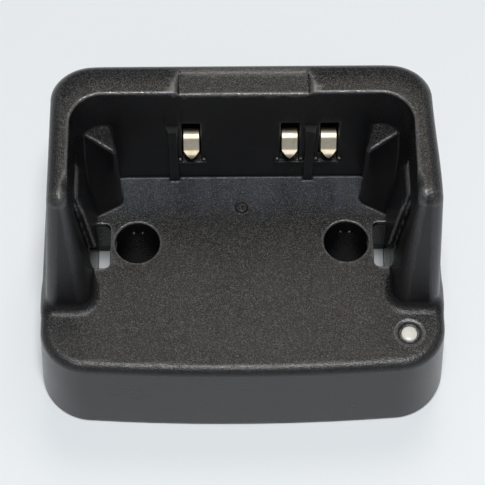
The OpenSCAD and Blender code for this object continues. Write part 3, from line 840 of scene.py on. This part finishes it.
def lensFinish():
    # milky light guide, a little warmer and rougher in patches
    mat, tree, shader = newMaterial("lensWhite")
    grain = placeGroup(tree, grainGroup, Grains_Per_Metre=5000, Pit_Share=0.2)
    patches = spread(tree, grain["Patches"], 0, 1)
    colour = blendColour(tree, patches, (0.6, 0.6, 0.54, 1), (0.72, 0.72, 0.66, 1))
    tree.links.new(colour, shader.inputs["Base Color"])
    tree.links.new(spread(tree, grain["Height"], 0.22, 0.4), shader.inputs["Roughness"])
    shader.inputs["Subsurface Weight"].default_value = 0.15
    shader.inputs["Subsurface Radius"].default_value = (0.001, 0.001, 0.001)
    addBump(tree, shader, grain["Height"], 0.00001)
    return mat


def labelFinish():
    # silver film with a plain printed frame and ruled lines
    mat, tree, shader = newMaterial("labelFilm")
    coords = addNode(tree, "ShaderNodeTexCoord")
    split = addNode(tree, "ShaderNodeSeparateXYZ")
    tree.links.new(coords.outputs["Object"], split.inputs[0])
    low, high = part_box("rating_label")
    mask = None
    for axis, n in (("X", 0), ("Y", 1)):
        offset = math2(tree, "SUBTRACT", split.outputs[axis], (low[n] + high[n]) / 2)
        reach = math2(tree, "ABSOLUTE", offset, 0)
        inset = (high[n] - low[n]) / 2 - 1.5 * mm
        away = math2(tree, "ABSOLUTE", math2(tree, "SUBTRACT", reach, inset), 0)
        line = math2(tree, "LESS_THAN", away, 0.2 * mm)
        mask = line if mask is None else math2(tree, "MAXIMUM", mask, line)
    wave = math2(tree, "FRACT", math2(tree, "MULTIPLY", split.outputs["Y"], 330), 0)
    rules = math2(tree, "LESS_THAN", wave, 0.16)
    mask = math2(tree, "MAXIMUM", mask, rules)
    colour = blendColour(tree, mask, (0.55, 0.56, 0.57, 1), (0.03, 0.03, 0.032, 1))
    tree.links.new(colour, shader.inputs["Base Color"])
    grain = placeGroup(tree, grainGroup, Grains_Per_Metre=2600, Pit_Share=0.1)
    tree.links.new(spread(tree, grain["Patches"], 0.34, 0.5), shader.inputs["Roughness"])
    shader.inputs["Metallic"].default_value = 0.55
    addBump(tree, shader, grain["Height"], 0.000008)
    return mat


def ceramicFinish():
    mat, tree, shader = newMaterial("chipCeramic")
    grain = placeGroup(tree, grainGroup, Grains_Per_Metre=9000, Pit_Share=0.4)
    colour = blendColour(tree, spread(tree, grain["Height"], 0, 1), (0.3, 0.2, 0.1, 1), (0.42, 0.3, 0.17, 1))
    tree.links.new(colour, shader.inputs["Base Color"])
    tree.links.new(spread(tree, grain["Patches"], 0.45, 0.6), shader.inputs["Roughness"])
    addBump(tree, shader, grain["Height"], 0.00001)
    return mat


finishes = {
    "housing_plastic": plasticFinish("housingPlastic"),
    "cover_plastic": plasticFinish("coverPlastic"),
    "component_black": plasticFinish("mouldedBlack"),
    "foot_rubber": plasticFinish("footRubber"),
    "contact_metal": metalFinish("contactMetal"),
    "screw_steel": metalFinish("screwSteel"),
    "capacitor_can": metalFinish("canAluminium"),
    "board_laminate": boardFinish(),
    "lens_white": lensFinish(),
    "label_film": labelFinish(),
    "chip_ceramic": ceramicFinish(),
}


def keepPiece(name, mesh, node):
    # a finished mesh that stands for one CAD node, on that node's body
    obj = bpy.data.objects.new(name, mesh)
    scene.collection.objects.link(obj)
    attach(obj, bodyOfNode[node])
    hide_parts(node)
    return obj


def dressNodes():
    for name, obj in frame["nodes"].items():
        finish = finishes[slotOfNode[name]]
        if not obj.material_slots:
            obj.data.materials.append(finish)
        for place in obj.material_slots:
            place.material = finish


def lathe(profile, segments=48):
    # closed turned shape; the profile runs (radius, height) from the axis round to the axis, in metres
    bm = bmesh.new()
    rings = []
    for r, z in profile:
        if r == 0:
            rings.append([bm.verts.new((0, 0, z))])
        else:
            rings.append([bm.verts.new((r * math.cos(a), r * math.sin(a), z))
                          for a in (2 * math.pi * i / segments for i in range(segments))])
    for below, above in zip(rings, rings[1:]):
        for i in range(segments):
            j = (i + 1) % segments
            corners = [below[i % len(below)], below[j % len(below)],
                       above[j % len(above)], above[i % len(above)]]
            bm.faces.new(list(dict.fromkeys(corners)))
    bmesh.ops.recalc_face_normals(bm, faces=bm.faces)
    return bm


def softBox(bm, low, high, edge=0.08 * mm, segments=2):
    made = bmesh.ops.create_cube(bm, size=1)["verts"]
    for v in made:
        v.co = Vector([(a + b) / 2 + c * (b - a) for a, b, c in zip(low, high, v.co)])
    edges = list({e for v in made for e in v.link_edges})
    bmesh.ops.bevel(bm, geom=edges, offset=edge, segments=segments, affect="EDGES", profile=0.6)


def meshOf(bm, name, finish, smooth=40):
    mesh = bpy.data.meshes.new(name)
    bm.to_mesh(mesh)
    bm.free()
    mesh.materials.append(finish)
    mesh.shade_smooth()
    mesh.set_sharp_from_angle(angle=math.radians(smooth))
    return mesh


def joined(meshes, name):
    # several meshes as one, each keeping its own finish
    bm = bmesh.new()
    result = bpy.data.meshes.new(name)
    for number, mesh in enumerate(meshes):
        start = len(bm.faces)
        bm.from_mesh(mesh)
        bm.faces.ensure_lookup_table()
        for face in bm.faces[start:]:
            face.material_index = number
        result.materials.append(mesh.materials[0])
    bm.to_mesh(result)
    bm.free()
    return result


def makeRepeatTree():
    # the same part on every point of a mesh, with a random turn about Z
    tree = bpy.data.node_groups.new("partOnPoints", "GeometryNodeTree")
    for label, kind in (("Geometry", "Geometry"), ("Part", "Object"), ("Finish", "Material"),
                        ("Part Scale", "Float"), ("Largest Turn", "Float"), ("Seed", "Int")):
        tree.interface.new_socket(label, in_out="INPUT", socket_type="NodeSocket" + kind)
    tree.interface.new_socket("Geometry", in_out="OUTPUT", socket_type="NodeSocketGeometry")
    given = tree.nodes.new("NodeGroupInput").outputs
    out = tree.nodes.new("NodeGroupOutput").inputs
    part = tree.nodes.new("GeometryNodeObjectInfo")
    part.inputs["As Instance"].default_value = True
    turn = addNode(tree, "FunctionNodeRandomValue", data_type="FLOAT")
    turnAxis = tree.nodes.new("ShaderNodeCombineXYZ")
    place = tree.nodes.new("GeometryNodeInstanceOnPoints")
    real = tree.nodes.new("GeometryNodeRealizeInstances")
    paint = tree.nodes.new("GeometryNodeSetMaterial")
    links = (
        (given["Geometry"], place.inputs["Points"]), (given["Part"], part.inputs["Object"]),
        (part.outputs["Geometry"], place.inputs["Instance"]), (given["Part Scale"], place.inputs["Scale"]),
        (given["Largest Turn"], turn.inputs[3]), (given["Seed"], turn.inputs["Seed"]),
        (turn.outputs[1], turnAxis.inputs["Z"]), (turnAxis.outputs[0], place.inputs["Rotation"]),
        (place.outputs[0], real.inputs[0]), (real.outputs[0], paint.inputs["Geometry"]),
        (given["Finish"], paint.inputs["Material"]), (paint.outputs[0], out["Geometry"]),
    )
    for source, target in links:
        tree.links.new(source, target)
    return tree


repeatTree = makeRepeatTree()


def repeated(mesh, places, turn=0.0, seed=1):
    # a plain mesh of the part at every place
    points = bpy.data.meshes.new("points")
    points.from_pydata([tuple(p) for p in places], [], [])
    host = bpy.data.objects.new("host", points)
    part = bpy.data.objects.new("part", mesh)
    for obj in (host, part):
        scene.collection.objects.link(obj)
    modifier = host.modifiers.new("repeat", "NODES")
    modifier.node_group = repeatTree
    values = {"Part": part, "Finish": mesh.materials[0], "Part Scale": 1.0,
              "Largest Turn": turn, "Seed": seed}
    for item in repeatTree.interface.items_tree:
        if item.in_out == "INPUT" and item.name in values:
            modifier[item.identifier] = values[item.name]
    bpy.context.view_layer.update()
    result = bpy.data.meshes.new_from_object(host.evaluated_get(bpy.context.evaluated_depsgraph_get()))
    host.modifiers.clear()
    for obj in (host, part):
        bpy.data.objects.remove(obj)
    return result


def centres(node):
    # the middle of each separate solid of a CAD node, and the solid's lowest and highest corners
    mesh = frame["nodes"][node].data
    bm = bmesh.new()
    bm.from_mesh(mesh)
    bmesh.ops.remove_doubles(bm, verts=bm.verts, dist=0.002 * mm)
    left = set(bm.verts)
    found = []
    while left:
        stack = [left.pop()]
        island = []
        while stack:
            vert = stack.pop()
            island.append(vert.co.copy())
            for edge in vert.link_edges:
                other = edge.other_vert(vert)
                if other in left:
                    left.remove(other)
                    stack.append(other)
        low = Vector([min(c[n] for c in island) for n in range(3)])
        high = Vector([max(c[n] for c in island) for n in range(3)])
        found.append(((low + high) / 2, low, high))
    bm.free()
    return sorted(found, key=lambda entry: tuple(round(v, 6) for v in entry[0]))


contact = {
    # all in millimetres; depth behind the pocket's rear face, then height above the deck
    "width": 4,
    "thickness": 0.3,
    "root": (4.15, 6.6),
    "turn": (2.7, 17.45, 1.45),      # centre and radius of the bend at the top
    "face": [(1.9, 18.9), (1.65, 18.84), (0.98, 18.52), (0.78, 18.32), (0.62, 18), (-0.65, 15.85)],
    "ledge": [(-0.82, 15.62), (-1.08, 15.42), (-1.75, 14.98), (-1.98, 14.75), (-2.1, 14.4), (-2.12, 13.6)],
    "tipWidth": 0.5,
    "taper": 2.3,
    "edge": 0.07,
}


def arcPoints(bend, start, end, steps=8):
    y, z, r = bend
    angles = [math.radians(start + (end - start) * i / steps) for i in range(steps + 1)]
    return [(y + r * math.cos(a), z + r * math.sin(a)) for a in angles]


def contactLine():
    c = contact
    (ya, za), (yb, zb) = c["root"], (c["turn"][0] + c["turn"][2], c["turn"][1])
    line = [(ya + (yb - ya) * t, za + (zb - za) * t) for t in np.linspace(0, 1, 8)[:-1]]
    line += arcPoints(c["turn"], 0, 90) + c["face"] + c["ledge"]
    return np.array(line)


def buildContact(node, name):
    # spring strip: a rounded strip section carried along the bent line, tapered to its tip
    c = contact
    line = contactLine()
    steps = np.linalg.norm(np.diff(line, axis=0), axis=1)
    left = steps.sum() - np.concatenate([[0], np.cumsum(steps)])
    tangent = np.gradient(line, axis=0)
    tangent /= np.linalg.norm(tangent, axis=1)[:, None]
    low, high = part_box(node)
    middle = (low[0] + high[0]) / 2 / mm
    backY, deck = housing["pocketBack"][0], housing["deckZ"]
    bm = bmesh.new()
    rings = []
    for (y, z), (ty, tz), togo in zip(line, tangent, left):
        half = c["tipWidth"] / 2 + (c["width"] - c["tipWidth"]) / 2 * min(1, togo / c["taper"])
        t, e = c["thickness"] / 2, c["edge"]
        section = [(half - e, t), (half, t - e), (half, e - t), (half - e, -t),
                   (e - half, -t), (-half, e - t), (-half, t - e), (e - half, t)]
        rings.append([bm.verts.new(((middle + u) * mm, (backY + y - v * tz) * mm, (deck + z + v * ty) * mm))
                      for u, v in section])
    for a, b in zip(rings, rings[1:]):
        for i in range(8):
            bm.faces.new((a[i], a[(i + 1) % 8], b[(i + 1) % 8], b[i]))
    bm.faces.new(rings[0])
    bm.faces.new(rings[-1][::-1])
    bmesh.ops.recalc_face_normals(bm, faces=bm.faces)
    mesh = meshOf(bm, name, finishes["contact_metal"], 35)
    return keepPiece(name, mesh, node)


screws = {
    # node: head radius, head height, shank radius, length, axis that the shank points along
    "cover_screws": (2.5, 1.1, 1.05, 10, (0, 0, 1)),
    "board_screws": (2, 1.2, 0.85, 6, (0, 0, -1)),
    "holder_screws": (2, 1.2, 0.85, 4.1, (0, -1, 0)),
}


def crossScrew(headR, headH, shankR, length, name):
    # pan head with a cross recess at -Z, threaded shank along +Z, seat at the origin
    pitch = shankR * 0.7
    profile = [(0, -headH), (headR * 0.45, -headH), (headR * 0.8, -headH * 0.9),
               (headR * 0.96, -headH * 0.62), (headR, -headH * 0.25), (headR, 0), (shankR * 0.82, 0)]
    turns = int((length - pitch) / pitch)
    for i in range(turns):
        z = pitch * (i + 0.5)
        profile += [(shankR * 0.82, z), (shankR, z + pitch * 0.3), (shankR * 0.82, z + pitch * 0.6)]
    profile += [(shankR * 0.7, length - pitch * 0.3), (0, length)]
    bm = lathe([(r * mm, z * mm) for r, z in profile], 32)
    body = meshOf(bm, name, finishes["screw_steel"], 35)
    cutter = bmesh.new()
    for wide, deep in ((0.58, 0.13), (0.13, 0.58)):
        made = bmesh.ops.create_cube(cutter, size=1)["verts"]
        for v in made:
            narrow = 1 if v.co.z < 0 else 0.62
            v.co = Vector((v.co.x * 2 * wide * headR * narrow, v.co.y * 2 * deep * headR * narrow,
                           -headH - 0.1 + (v.co.z + 0.5) * (headH * 0.6 + 0.1))) * mm
    tool = meshOf(cutter, "recess", finishes["screw_steel"])
    objects = [bpy.data.objects.new(label, data) for label, data in (("screwBody", body), ("recess", tool))]
    for obj in objects:
        scene.collection.objects.link(obj)
    cut = objects[0].modifiers.new("cut", "BOOLEAN")
    cut.object = objects[1]
    cut.operation = "DIFFERENCE"
    cut.solver = "EXACT"
    cut.use_self = True
    result = bpy.data.meshes.new_from_object(objects[0].evaluated_get(bpy.context.evaluated_depsgraph_get()))
    for obj in objects:
        bpy.data.objects.remove(obj)
    result.materials.clear()
    result.materials.append(finishes["screw_steel"])
    return result


def buildScrews(node, name):
    headR, headH, shankR, length, axis = screws[node]
    mesh = crossScrew(headR, headH, shankR, length, name)
    turned = Vector((0, 0, 1)).rotation_difference(Vector(axis)).to_matrix().to_4x4()
    if axis == (0, 0, -1):
        turned = Matrix.Rotation(math.pi, 4, "X")
    mesh.transform(turned)
    seats = []
    for middle, low, high in centres(node):
        end = [low[n] if axis[n] > 0 else high[n] for n in range(3)]
        seats.append([end[n] + axis[n] * headH * mm if axis[n] else middle[n] for n in range(3)])
    whole = repeated(mesh, seats, 6.28 if axis[2] else 0.0, 5)
    whole.name = name
    return keepPiece(name, whole, node)


foot = {
    # in millimetres; each ring of the tread starts at one of the radii
    "radius": 4.5,
    "grooveDepth": 0.15,
    "ringStarts": (0.9, 1.89, 2.88),
}


def buildFeet():
    # turned rubber foot with shallow rings in its tread
    r, top, groove = foot["radius"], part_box("rubber_feet")[1][2] / mm, foot["grooveDepth"]
    profile = [(0, groove)]
    for start in foot["ringStarts"]:
        profile += [(start, groove), (start + 0.2, 0), (start + 0.55, 0), (start + 0.75, groove)]
    profile += [(r - 0.5, 0), (r - 0.15, 0.14), (r, 0.56), (r, top - 0.1), (r - 0.1, top), (0, top)]
    turned = lathe([(across * mm, z * mm) for across, z in profile], 64)
    mesh = meshOf(turned, "rubberFeet", finishes["foot_rubber"], 50)
    places = [(middle.x, middle.y, 0) for middle, *_ in centres("rubber_feet")]
    keepPiece("rubberFeet", repeated(mesh, places), "rubber_feet")


lens = {"radius": 2, "crown": 0.45, "shelfDepth": 3, "flangeThickness": 1}      # in millimetres


def buildLens():
    # light guide: a rod with a domed end and a flange that stops it under the deck
    low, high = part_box("indicator_lens")
    x, y = ((low[n] + high[n]) / 2 for n in (0, 1))
    r, crown = lens["radius"] * mm, lens["crown"] * mm
    dome = [(r * math.cos(a), high[2] - crown + crown * math.sin(a))
            for a in (math.pi / 2 * i / 8 for i in range(8))]
    flange = (high[0] - low[0]) / 2
    shelf = high[2] - lens["shelfDepth"] * mm
    under = shelf - lens["flangeThickness"] * mm
    profile = [(0, low[2]), (r, low[2]), (r, under - 0.1 * mm), (flange, under), (flange, shelf), (r, shelf)]
    bm = lathe(profile + dome + [(0, high[2])], 48)
    bmesh.ops.translate(bm, vec=(x, y, 0), verts=bm.verts)
    keepPiece("indicatorLens", meshOf(bm, "indicatorLens", finishes["lens_white"], 50), "indicator_lens")


def buildChips(node, name, endShare, endFinish="screw_steel"):
    # ceramic or moulded body between two plated ends, repeated over the node's solids
    solids = centres(node)
    low, high = solids[0][1] - solids[0][0], solids[0][2] - solids[0][0]
    long = 1 if high[1] > high[0] else 0
    body, ends = bmesh.new(), bmesh.new()
    inner = [Vector(low) * 0.95, Vector(high) * 0.95]
    inner[0][2] = low[2] + 0.04 * mm
    softBox(body, inner[0], inner[1], 0.04 * mm)
    reach = high[long] * 2 * endShare
    for side in (-1, 1):
        a, b = Vector(low), Vector(high)
        if side < 0:
            b[long] = low[long] + reach
        else:
            a[long] = high[long] - reach
        softBox(ends, a, b, 0.05 * mm)
    places = [middle for middle, *_ in solids]
    parts = [repeated(meshOf(bm, name, finishes[key]), places)
             for bm, key in ((body, slotOfNode[node]), (ends, endFinish))]
    keepPiece(name, joined(parts, name), node)


capacitor = {
    # in millimetres; heights are from the foot of the base
    "radius": 3.15,
    "canFoot": 0.4,
    "crimp": (1.6, 1.9, 2.1, 2.4),    # groove rolled round the can
    "crimpShare": 0.93,
    "baseHeight": 0.7,
    "lidSink": 0.12,
}


def buildCapacitors():
    c = capacitor
    solids = centres("filter_capacitors")
    low, high = solids[0][1] - solids[0][0], solids[0][2] - solids[0][0]
    r, top, bottom = c["radius"], high[2] / mm, low[2] / mm
    foot, lid = bottom + c["canFoot"], top - c["lidSink"]
    crimp = [(r * share, bottom + height)
             for share, height in zip((1, c["crimpShare"], c["crimpShare"], 1), c["crimp"])]
    profile = [(0, foot), (r * 0.9, foot), (r, foot + 0.5)] + crimp
    profile += [(r, top - 0.5), (r * 0.95, lid), (r * 0.86, top), (r * 0.8, top), (r * 0.78, lid), (0, lid)]
    can = lathe([(across * mm, z * mm) for across, z in profile], 40)
    base = bmesh.new()
    half = high[0] * 0.97
    softBox(base, (-half, -half, low[2]), (half, half, low[2] + c["baseHeight"] * mm), 0.2 * mm)
    places = [middle for middle, *_ in solids]
    parts = [repeated(meshOf(bm, "capacitor", finishes[key], 50), places)
             for bm, key in ((can, "capacitor_can"), (base, "component_black"))]
    keepPiece("filterCapacitors", joined(parts, "filterCapacitors"), "filter_capacitors")


inductor = {
    # in millimetres
    "radius": 3.6,
    "innerRimR": 2.7,
    "baseHalf": 4,
    "baseHeight": 1.1,
    "wire": 0.28,
    "turns": 5,
}


def buildInductor():
    # drum core on a square base, with its winding showing in the waist
    v = inductor
    low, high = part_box("power_inductor")
    top, bottom, r, rimR = high[2] / mm, low[2] / mm, v["radius"], v["innerRimR"]
    drum = [(0, bottom + 0.8), (r * 0.6, bottom + 0.8), (r * 0.6, top - 0.6), (r, top - 0.55),
            (r, top - 0.12), (r * 0.97, top), (rimR, top), (rimR - 0.1, top - 0.35), (0, top - 0.35)]
    wire, start = v["wire"], bottom + v["baseHeight"] + 0.05
    coil = [(0, start)]
    for i in range(v["turns"]):
        z = start + wire * (i + 0.5)
        coil += [(r * 0.8, z - wire * 0.45), (r * 0.86, z), (r * 0.8, z + wire * 0.45)]
    coil.append((0, start + wire * v["turns"]))
    turned = [lathe([(across * mm, z * mm) for across, z in profile], 48) for profile in (drum, coil)]
    base = bmesh.new()
    half = v["baseHalf"] * mm
    softBox(base, (-half, -half, low[2]), (half, half, low[2] + v["baseHeight"] * mm), 0.25 * mm)
    meshes = [meshOf(bm, "inductor", finishes[key], 50)
              for bm, key in zip((*turned, base), ("component_black", "contact_metal", "component_black"))]
    whole = joined(meshes, "powerInductor")
    whole.transform(Matrix.Translation(((low[0] + high[0]) / 2, (low[1] + high[1]) / 2, 0)))
    keepPiece("powerInductor", whole, "power_inductor")


controller = {
    # in millimetres
    "bodyHalf": 2.5,
    "leads": 4,                       # on each side
    "firstLead": 1.6,
    "pitch": 1.27,
    "leadWidth": 0.42,
    "leadRise": 0.7,
    "leadThickness": 0.18,
    "dotR": 0.35,
}


def leadBar(bm, ends, y, bottom, top):
    # one straight piece of a lead, between two x positions
    softBox(bm, (min(ends), y, bottom), (max(ends), y + controller["leadWidth"] * mm, top), 0.03 * mm, 1)


def gullLead(bm, x, y, z, out, reach):
    # one bent lead: out of the body, down, and a flat foot
    t, top = controller["leadThickness"] * mm, z + controller["leadRise"] * mm
    knee = x + out * reach * 0.45
    leadBar(bm, (x, x + out * reach * 0.5), y, top - t, top)
    leadBar(bm, (knee, knee + out * t), y, z, top)
    leadBar(bm, (knee, knee + out * reach * 0.55), y, z, z + t)


def buildController():
    c = controller
    low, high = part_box("charge_controller")
    body, leads = bmesh.new(), bmesh.new()
    half, dotR = c["bodyHalf"] * mm, c["dotR"] * mm
    root = half - 0.1 * mm
    softBox(body, (-half, low[1], low[2] + 0.12 * mm), (half, high[1], high[2]), 0.14 * mm)
    for side in (-1, 1):
        for i in range(c["leads"]):
            y = (c["firstLead"] + i * c["pitch"]) * mm
            gullLead(leads, side * root, y, low[2], side, high[0] - root)
    dot = lathe([(0, 0), (dotR, 0), (dotR, 0.03 * mm), (0, 0.03 * mm)], 20)
    bmesh.ops.translate(dot, vec=(-1.8 * mm, high[1] - 0.8 * mm, high[2] - 0.03 * mm), verts=dot.verts)
    meshes = [meshOf(bm, "controller", finishes[key]) for bm, key in
              ((body, "component_black"), (leads, "screw_steel"), (dot, "foot_rubber"))]
    keepPiece("chargeController", joined(meshes, "chargeController"), "charge_controller")


transistor = {
    # in millimetres
    "bodyY": (6, 12),
    "tabFront": 6.3,
    "tabInset": 0.4,
    "tabHeight": 0.5,
    "leadsX": (7, 10.6),
    "leadSize": (0.8, 0.45),
}


def buildTransistor():
    t = transistor
    low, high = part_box("pass_transistor")
    body, metal = bmesh.new(), bmesh.new()
    (front, back), inset, tabFront = t["bodyY"], t["tabInset"] * mm, t["tabFront"] * mm
    wide, thick = (size * mm for size in t["leadSize"])
    softBox(body, (low[0], front * mm, low[2] + 0.4 * mm), (high[0], back * mm, high[2]), 0.22 * mm)
    softBox(metal, (low[0] + inset, tabFront, low[2]),
            (high[0] - inset, high[1], low[2] + t["tabHeight"] * mm), 0.06 * mm)
    for x in t["leadsX"]:
        softBox(metal, (x * mm, low[1], low[2]), (x * mm + wide, tabFront, low[2] + thick), 0.05 * mm)
    meshes = [meshOf(bm, "transistor", finishes[key]) for bm, key in
              ((body, "component_black"), (metal, "screw_steel"))]
    keepPiece("passTransistor", joined(meshes, "passTransistor"), "pass_transistor")


def buildLabel():
    # thin film with round corners
    low, high = (Vector(corner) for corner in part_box("rating_label"))
    bm = bmesh.new()
    r = 1.5 * mm
    corners = [(high.x - r, high.y - r, 0), (low.x + r, high.y - r, 90), (low.x + r, low.y + r, 180),
               (high.x - r, low.y + r, 270)]
    rim = [(x + r * math.cos(math.radians(start + a)), y + r * math.sin(math.radians(start + a)))
           for x, y, start in corners for a in range(0, 91, 15)]
    face = bm.faces.new([bm.verts.new((x, y, high.z)) for x, y in rim])
    grown = bmesh.ops.extrude_face_region(bm, geom=[face])
    for item in grown["geom"]:
        if isinstance(item, bmesh.types.BMVert):
            item.co.z = low.z
    bmesh.ops.recalc_face_normals(bm, faces=bm.faces)
    keepPiece("ratingLabel", meshOf(bm, "ratingLabel", finishes["label_film"]), "rating_label")


def buildInside():
    buildChips("chip_resistors", "chipResistors", 0.2)
    buildChips("chip_capacitors", "chipCapacitors", 0.22)
    buildChips("input_fuse", "inputFuse", 0.18)
    buildChips("indicator_led", "indicatorLed", 0.16, "contact_metal")
    buildChips("input_diode", "inputDiode", 0.12)
    buildCapacitors()
    buildInductor()
    buildController()
    buildTransistor()


makeCamera(camera)
for lampName, lampValues in lamps.items():
    makeLamp(lampName, *lampValues)
makeFloor()
world = bpy.data.worlds.new("studio")
world.use_nodes = True
world.node_tree.nodes["Background"].inputs["Color"].default_value = (0.8, 0.88, 1, 1)
world.node_tree.nodes["Background"].inputs["Strength"].default_value = 0.13
scene.world = world
scene.view_settings.view_transform = "Standard"
dressNodes()
buildHousing()
for contactNode in ("contact_left", "contact_middle", "contact_right"):
    buildContact(contactNode, contactNode.replace("_", "") + "Spring")
for screwNode, screwName in (("cover_screws", "coverScrews"), ("board_screws", "boardScrews"),
                             ("holder_screws", "holderScrews")):
    buildScrews(screwNode, screwName)
buildFeet()
buildLens()
buildLabel()
buildInside()
print("pieces built")
